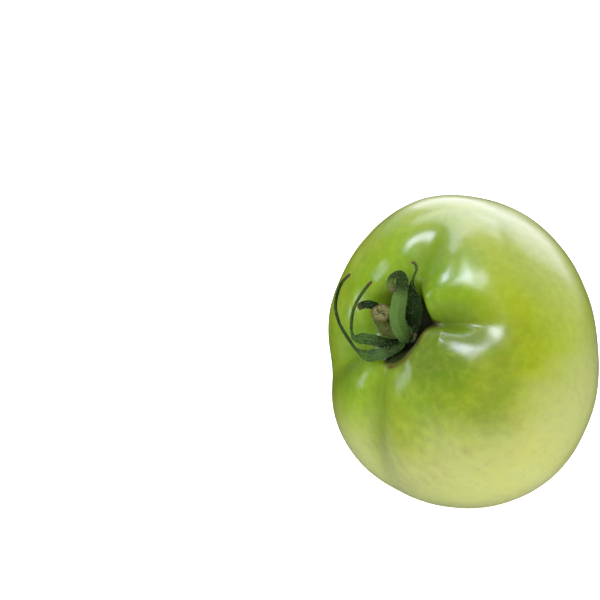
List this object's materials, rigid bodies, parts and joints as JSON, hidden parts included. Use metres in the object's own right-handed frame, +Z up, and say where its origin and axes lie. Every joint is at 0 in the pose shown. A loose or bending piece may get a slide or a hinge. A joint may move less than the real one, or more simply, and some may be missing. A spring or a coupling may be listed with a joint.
{
  "type": "green tomato",
  "caption": "Whole unripe beefsteak tomato, lobed and lying on its side, with its curled calyx and cut stalk in the stem cavity.",
  "frame": {"origin": "middle of the fruit's footprint, on the surface that it lies on", "axes": "+Z up, +Y away from a viewer who stands in front, +X to the right; the stem end points to -X, turned towards -Y and a little up"},
  "size_m": [0.0766, 0.0903, 0.0868],
  "materials": {
    "skin": "glossy waxy fruit skin",
    "sepal": "matte downy leaf",
    "stalk": "matte downy stalk with a dry cut end"
  },
  "bodies": {
    "root": {"fruit": "skin", "calyx": "sepal", "pedicel": "stalk"}
  },
  "joints": []
}
